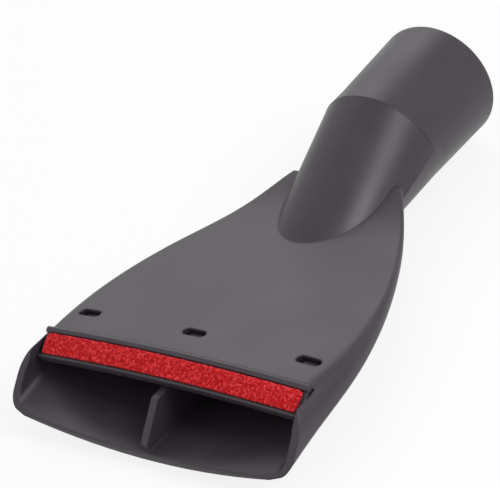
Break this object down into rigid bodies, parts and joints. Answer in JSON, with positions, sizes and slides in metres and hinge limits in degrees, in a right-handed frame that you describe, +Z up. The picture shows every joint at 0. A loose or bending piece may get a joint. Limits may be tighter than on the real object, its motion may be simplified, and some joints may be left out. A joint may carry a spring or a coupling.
{
  "type": "vacuum cleaner nozzle",
  "caption": "Fan-shaped vacuum nozzle with an offset round tube socket, a slanted mouth with a centre rib, and a snap-in bar that carries a thread-lifting velour strip.",
  "frame": {"origin": "centre of the tube socket's rim, on the bore axis", "axes": "+Y along the bore axis out of the socket, +X across the mouth, +Z up on the side of the snap slots"},
  "size_m": [0.0952, 0.169, 0.04],
  "materials": {
    "body": "satin moulded plastic with a fine texture",
    "carrier": "satin moulded plastic",
    "pile": "short directional velour pile"
  },
  "bodies": {
    "root": {"nozzle_body": "body", "lifter_carrier": "carrier", "lifter_strip": "pile"}
  },
  "joints": []
}
